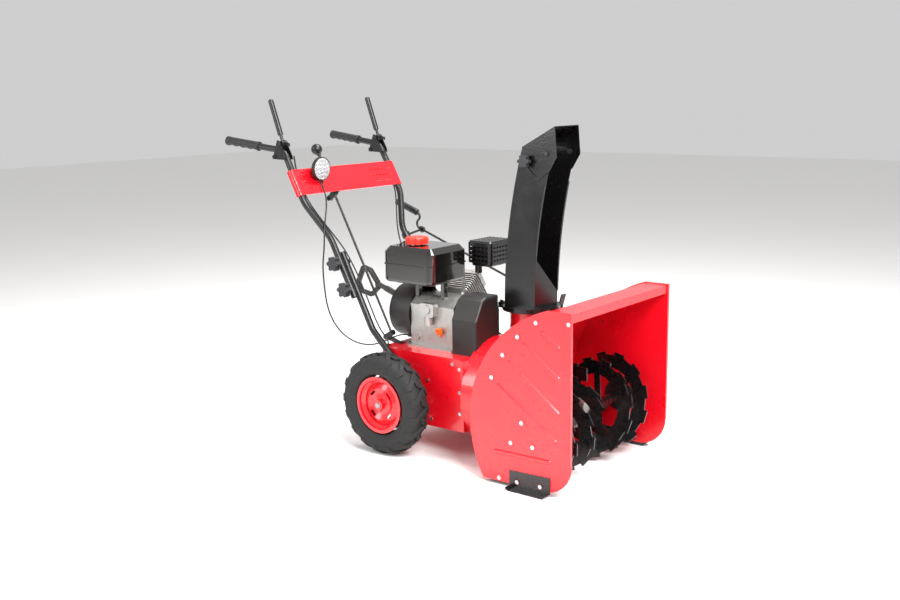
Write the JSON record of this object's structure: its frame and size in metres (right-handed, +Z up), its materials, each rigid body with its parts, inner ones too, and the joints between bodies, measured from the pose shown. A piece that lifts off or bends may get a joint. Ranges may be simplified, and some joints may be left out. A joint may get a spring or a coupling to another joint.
{
  "type": "snow blower",
  "caption": "Walk-behind two-stage snow blower with a steel auger housing, turning discharge chute, pneumatic wheels, engine and handlebar controls.",
  "frame": {"origin": "on the ground under the centre of the machine's bounding box", "axes": "+X forward, towards the auger; +Y to the operator's left; +Z up"},
  "size_m": [1.4107, 0.616, 1.1241],
  "materials": {
    "red_enamel": "gloss enamel",
    "black_enamel": "semi-gloss powder coat",
    "zinc_steel": "zinc plated",
    "bare_steel": "turned",
    "cast_aluminium": "as cast",
    "black_plastic": "moulded",
    "gloss_black_plastic": "moulded, glossy",
    "chute_plastic": "moulded",
    "red_cap": "moulded",
    "orange_plastic": "moulded",
    "tyre_rubber": "moulded tread",
    "grip_rubber": "ribbed",
    "belt_rubber": "fabric faced",
    "cable_sheath": "smooth",
    "iron": "as cast",
    "lens": "clear, faceted"
  },
  "bodies": {
    "frame": {"auger_housing": "red_enamel", "side_plate_right": "red_enamel", "side_plate_left": "red_enamel", "scraper_bar": "black_enamel", "skid_shoe_right": "black_enamel", "skid_shoe_left": "black_enamel", "housing_bolts": "zinc_steel", "gearbox_case": "cast_aluminium", "transmission_case": "red_enamel", "bottom_cover": "red_enamel", "shaft_bushes": "iron", "engine_block": "cast_aluminium", "cylinder": "cast_aluminium", "carburettor": "cast_aluminium", "drive_belts": "belt_rubber", "belt_cover": "black_plastic", "fuel_tank": "gloss_black_plastic", "muffler": "black_enamel", "muffler_guard": "black_enamel", "recoil_cover": "black_plastic", "chute_collar": "black_enamel", "lower_handle_right": "black_enamel", "lower_handle_left": "black_enamel", "upper_handle_right": "black_enamel", "upper_handle_left": "black_enamel", "handle_grips": "grip_rubber", "handle_knobs": "black_plastic", "frame_bolts": "zinc_steel", "control_panel": "red_enamel", "headlight_body": "black_plastic", "headlight_lens": "lens", "control_brackets": "black_enamel", "lamp_cable": "cable_sheath", "clutch_cables": "cable_sheath"},
    "wheels": {"axle": "bare_steel", "rim_right": "red_enamel", "rim_left": "red_enamel", "tyre_right": "tyre_rubber", "tyre_left": "tyre_rubber"},
    "hex_shaft": {"hex_shaft": "bare_steel"},
    "friction_wheel": {"friction_wheel": "belt_rubber"},
    "drive_disc": {"drive_disc": "cast_aluminium"},
    "auger": {"auger_shaft": "bare_steel", "auger_flight_right": "black_enamel", "auger_flight_left": "black_enamel"},
    "impeller": {"impeller": "black_enamel", "impeller_shaft": "bare_steel"},
    "crankshaft": {"crankshaft": "iron"},
    "chute": {"chute": "chute_plastic", "deflector_knobs": "black_plastic"},
    "chute_deflector": {"chute_deflector": "chute_plastic"},
    "chute_crank": {"chute_crank": "black_enamel"},
    "auger_lever": {"auger_lever": "black_enamel"},
    "drive_lever": {"drive_lever": "black_enamel"},
    "speed_lever": {"speed_lever": "black_enamel"},
    "shift_rod": {"shift_rod": "black_enamel"},
    "shift_arm": {"shift_arm": "black_enamel"},
    "recoil_handle": {"recoil_handle": "black_plastic"},
    "fuel_cap": {"fuel_cap": "red_cap"},
    "dipstick": {"dipstick": "orange_plastic"}
  },
  "joints": [
    {"name": "wheels_roll", "type": "hinge", "parent": "frame", "child": "wheels", "pos_m": [-0.015, 0, 0.165], "axis": [0, 1, 0], "continuous": true},
    {"name": "hex_shaft_turn", "type": "hinge", "parent": "frame", "child": "hex_shaft", "pos_m": [0.0546, 0, 0.1965], "axis": [0, 1, 0], "continuous": true},
    {"name": "friction_wheel_shift", "type": "slide", "parent": "hex_shaft", "child": "friction_wheel", "axis": [0, 1, 0], "range_m": [-0.1, 0]},
    {"name": "drive_disc_turn", "type": "hinge", "parent": "frame", "child": "drive_disc", "pos_m": [0.1, 0, 0.1965], "axis": [1, 0, 0], "continuous": true},
    {"name": "auger_turn", "type": "hinge", "parent": "frame", "child": "auger", "pos_m": [0.535, 0, 0.16], "axis": [0, 1, 0], "continuous": true},
    {"name": "impeller_turn", "type": "hinge", "parent": "frame", "child": "impeller", "pos_m": [0.3, 0, 0.1965], "axis": [1, 0, 0], "continuous": true},
    {"name": "crankshaft_turn", "type": "hinge", "parent": "frame", "child": "crankshaft", "pos_m": [0, 0, 0.42], "axis": [1, 0, 0], "continuous": true},
    {"name": "chute_turn", "type": "hinge", "parent": "frame", "child": "chute", "pos_m": [0.309, 0.1, 0.46], "axis": [0, 0, 1], "range_deg": [-90, 90]},
    {"name": "deflector_tilt", "type": "hinge", "parent": "chute", "child": "chute_deflector", "pos_m": [0.4135, 0.1, 0.952], "axis": [0, 1, 0], "range_deg": [0, 40]},
    {"name": "crank_turn", "type": "hinge", "parent": "frame", "child": "chute_crank", "pos_m": [-0.28, 0.265, 0.65], "axis": [0.9489, -0.0982, -0.3], "continuous": true},
    {"name": "auger_lever_squeeze", "type": "hinge", "parent": "frame", "child": "auger_lever", "pos_m": [-0.452, 0.236, 0.978], "axis": [0, -1, 0], "range_deg": [0, 55], "stiffness_Nm_per_rad": 0.8, "springref_deg": -17.19},
    {"name": "drive_lever_squeeze", "type": "hinge", "parent": "frame", "child": "drive_lever", "pos_m": [-0.452, -0.236, 0.978], "axis": [0, -1, 0], "range_deg": [0, 55], "stiffness_Nm_per_rad": 0.8, "springref_deg": -17.19},
    {"name": "speed_select", "type": "hinge", "parent": "frame", "child": "speed_lever", "pos_m": [-0.4066, -0.078, 0.7859], "axis": [0, 1, 0], "range_deg": [-25, 0]},
    {"name": "rod_turn", "type": "hinge", "parent": "speed_lever", "child": "shift_rod", "pos_m": [-0.372, -0.086, 0.806], "axis": [0, 1, 0], "range_deg": [0, 25]},
    {"name": "shift_arm_turn", "type": "hinge", "parent": "frame", "child": "shift_arm", "pos_m": [-0.1446, -0.098, 0.3359], "axis": [0, 1, 0], "range_deg": [-25, 0]},
    {"name": "recoil_pull", "type": "slide", "parent": "frame", "child": "recoil_handle", "axis": [-0.9511, 0, 0.309], "range_m": [0, 0.4]},
    {"name": "cap_turn", "type": "hinge", "parent": "frame", "child": "fuel_cap", "pos_m": [-0.03, -0.06, 0.66], "axis": [0, 0, 1], "range_deg": [0, 120]},
    {"name": "dipstick_pull", "type": "slide", "parent": "frame", "child": "dipstick", "axis": [0, -0.6428, 0.766], "range_m": [0, 0.05]}
  ],
  "couplings": [
    {"joint": "hex_shaft_turn", "follows": "wheels_roll", "ratio": -2.795},
    {"joint": "friction_wheel_shift", "follows": "speed_select", "m_per_rad": 0.229},
    {"joint": "rod_turn", "follows": "speed_select", "ratio": -1},
    {"joint": "shift_arm_turn", "follows": "speed_select", "ratio": 1},
    {"joint": "impeller_turn", "follows": "auger_turn", "ratio": 10},
    {"joint": "crank_turn", "follows": "chute_turn", "ratio": 8}
  ]
}
